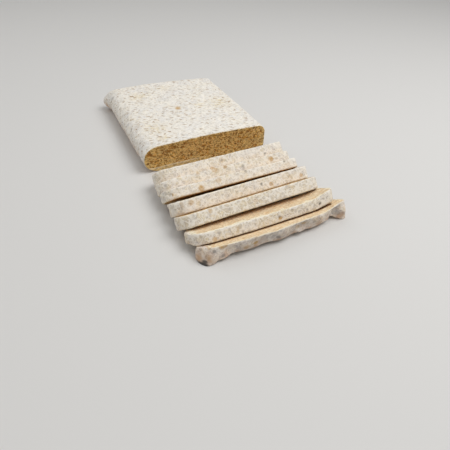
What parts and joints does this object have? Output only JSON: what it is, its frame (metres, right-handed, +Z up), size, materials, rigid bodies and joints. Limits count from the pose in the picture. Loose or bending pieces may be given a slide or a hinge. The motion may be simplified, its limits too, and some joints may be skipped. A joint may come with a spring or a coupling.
{
  "type": "tempeh cake",
  "caption": "Partly sliced cake of tempeh: a flat block with a white rind and a golden bean cut face, thin slices fallen forward in a row, and the heel lying in front",
  "frame": {"origin": "on the board, under the middle of the whole arrangement's box", "axes": "X runs along the cuts, Y from the heel towards the block's moulded end, Z up"},
  "size_m": [0.1536, 0.3126, 0.0309],
  "materials": {
    "block_rind": "dull white mycelium rind with a golden cut face",
    "slice_1_cut": "dull golden cut face with a pale rind",
    "slice_2_cut": "dull golden cut face with a pale rind",
    "slice_3_cut": "dull golden cut face with a pale rind",
    "slice_4_cut": "dull golden cut face with a pale rind",
    "slice_5_cut": "dull golden cut face with a pale rind",
    "slice_6_cut": "dull golden cut face with a pale rind",
    "heel_rind": "dull white mycelium rind with a golden cut face"
  },
  "bodies": {
    "root": {"block": "block_rind", "slice_1": "slice_1_cut", "slice_2": "slice_2_cut", "slice_3": "slice_3_cut", "slice_4": "slice_4_cut", "slice_5": "slice_5_cut", "slice_6": "slice_6_cut", "heel": "heel_rind"}
  },
  "joints": []
}
